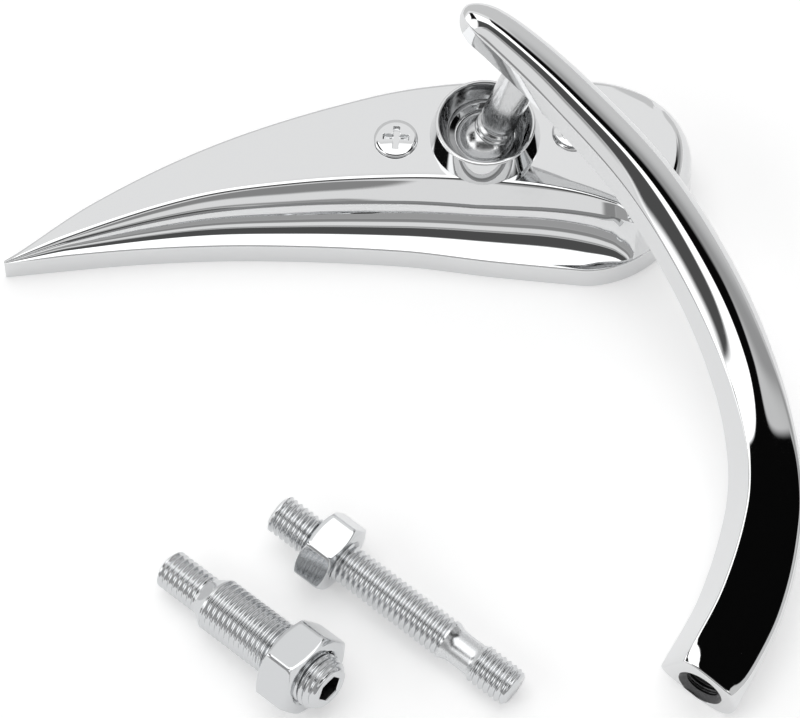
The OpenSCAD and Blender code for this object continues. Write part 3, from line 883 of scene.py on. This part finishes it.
class Sky:
    """Builds the world's light as bands and cards in direction space."""

    def __init__(self):
        world = bpy.data.worlds.new("studio")
        world.use_nodes = True
        bpy.context.scene.world = world
        self.tree = world.node_tree
        self.tree.nodes.clear()
        coords = self.tree.nodes.new("ShaderNodeTexCoord")
        split = self.tree.nodes.new("ShaderNodeSeparateXYZ")
        self.tree.links.new(coords.outputs["Generated"], split.inputs["Vector"])
        self.x, self.y, self.z = (split.outputs[k] for k in "XYZ")
        # Angle over the top, from +Y at 0 to -Y at 180 degrees, and angle towards +X
        self.over = self.math("MULTIPLY", self.math("ARCTAN2", self.z, self.y), 180 / math.pi)
        self.aside = self.math("MULTIPLY", self.math("ARCSINE", self.x), 180 / math.pi)

    def feed(self, socket, value):
        if isinstance(value, (int, float)):
            socket.default_value = value
        else:
            self.tree.links.new(value, socket)

    def math(self, op, *values):
        node = self.tree.nodes.new("ShaderNodeMath")
        node.operation = op
        for socket, value in zip(node.inputs, values):
            self.feed(socket, value)
        return node.outputs[0]

    def step(self, value, at, soft):
        node = self.tree.nodes.new("ShaderNodeMapRange")
        node.interpolation_type = "SMOOTHSTEP"
        node.inputs["From Min"].default_value = at - soft / 2
        node.inputs["From Max"].default_value = at + soft / 2
        self.tree.links.new(value, node.inputs["Value"])
        return node.outputs["Result"]

    def window(self, value, low, high, soft):
        return self.math("MULTIPLY", self.step(value, low, soft),
                         self.math("SUBTRACT", 1.0, self.step(value, high, soft)))

    def blend(self, base, level, mask):
        node = self.tree.nodes.new("ShaderNodeMix")
        node.data_type = "FLOAT"
        for key, value in (("Factor", mask), ("A", base), ("B", level)):
            self.feed(node.inputs[key], value)
        return node.outputs["Result"]

    def card(self, base, level, over, aside, soft_over, soft_aside):
        mask = self.math("MULTIPLY", self.window(self.over, *over, soft_over),
                         self.window(self.aside, *aside, soft_aside))
        return self.blend(base, level, mask)

    def finish(self, level, seen):
        path = self.tree.nodes.new("ShaderNodeLightPath")
        level = self.blend(level, seen, path.outputs["Is Camera Ray"])
        back = self.tree.nodes.new("ShaderNodeBackground")
        self.tree.links.new(level, back.inputs["Strength"])
        out = self.tree.nodes.new("ShaderNodeOutputWorld")
        self.tree.links.new(back.outputs[0], out.inputs["Surface"])


WIDE = (-95, 95)
BASE_LIGHT = 0.95
BACKGROUND = 1.25
# Level, range over the top, range aside, and how soft the edges of both are, all angles in degrees
CARDS = [
    (1.3, (44, 63.5), WIDE, 6, 4),
    (2.3, (64.5, 131), WIDE, 2, 4),
    (0.12, (104, 130), (-31, 30), 4, 8),
    (1.2, (131, 147), WIDE, 4, 4),
    (0.5, (130, 134), (-18, 20), 3, 10),
    (0.4, (147, 158), WIDE, 4, 4),
    (0.55, (158, 181), WIDE, 4, 4),
    (0.9, (-10, 190), (48, 95), 8, 8),
    (0.5, (28, 60), (40, 95), 24, 8),
    (0.004, (52, 118), (25.5, 51), 16, 3),
    (0.01, (62, 102), (-50, -29), 8, 4),
]


def build_sky():
    sky = Sky()
    level = BASE_LIGHT
    for card in CARDS:
        level = sky.card(level, *card)
    sky.finish(level, BACKGROUND)


def build_camera():
    elevation = math.radians(61.5)
    distance = 0.9
    target = Vector((-ORIGIN[0] * MM, -ORIGIN[1] * MM, 0))
    cam = bpy.data.cameras.new("camera")
    cam.sensor_width = 36
    cam.lens = 208.6
    cam.clip_start = 0.01
    obj = bpy.data.objects.new("camera", cam)
    bpy.context.scene.collection.objects.link(obj)
    obj.location = target + Vector((0, -math.cos(elevation), math.sin(elevation))) * distance
    obj.rotation_euler = (math.pi / 2 - elevation, 0, 0)
    bpy.context.scene.camera = obj


build_floor()
build_sky()
build_camera()
bpy.context.scene.view_settings.view_transform = "Standard"


# ---- box corners as plain numbers --------------------------------------------------------------

def plain(box):
    return [[float(c) for c in corner] for corner in box]
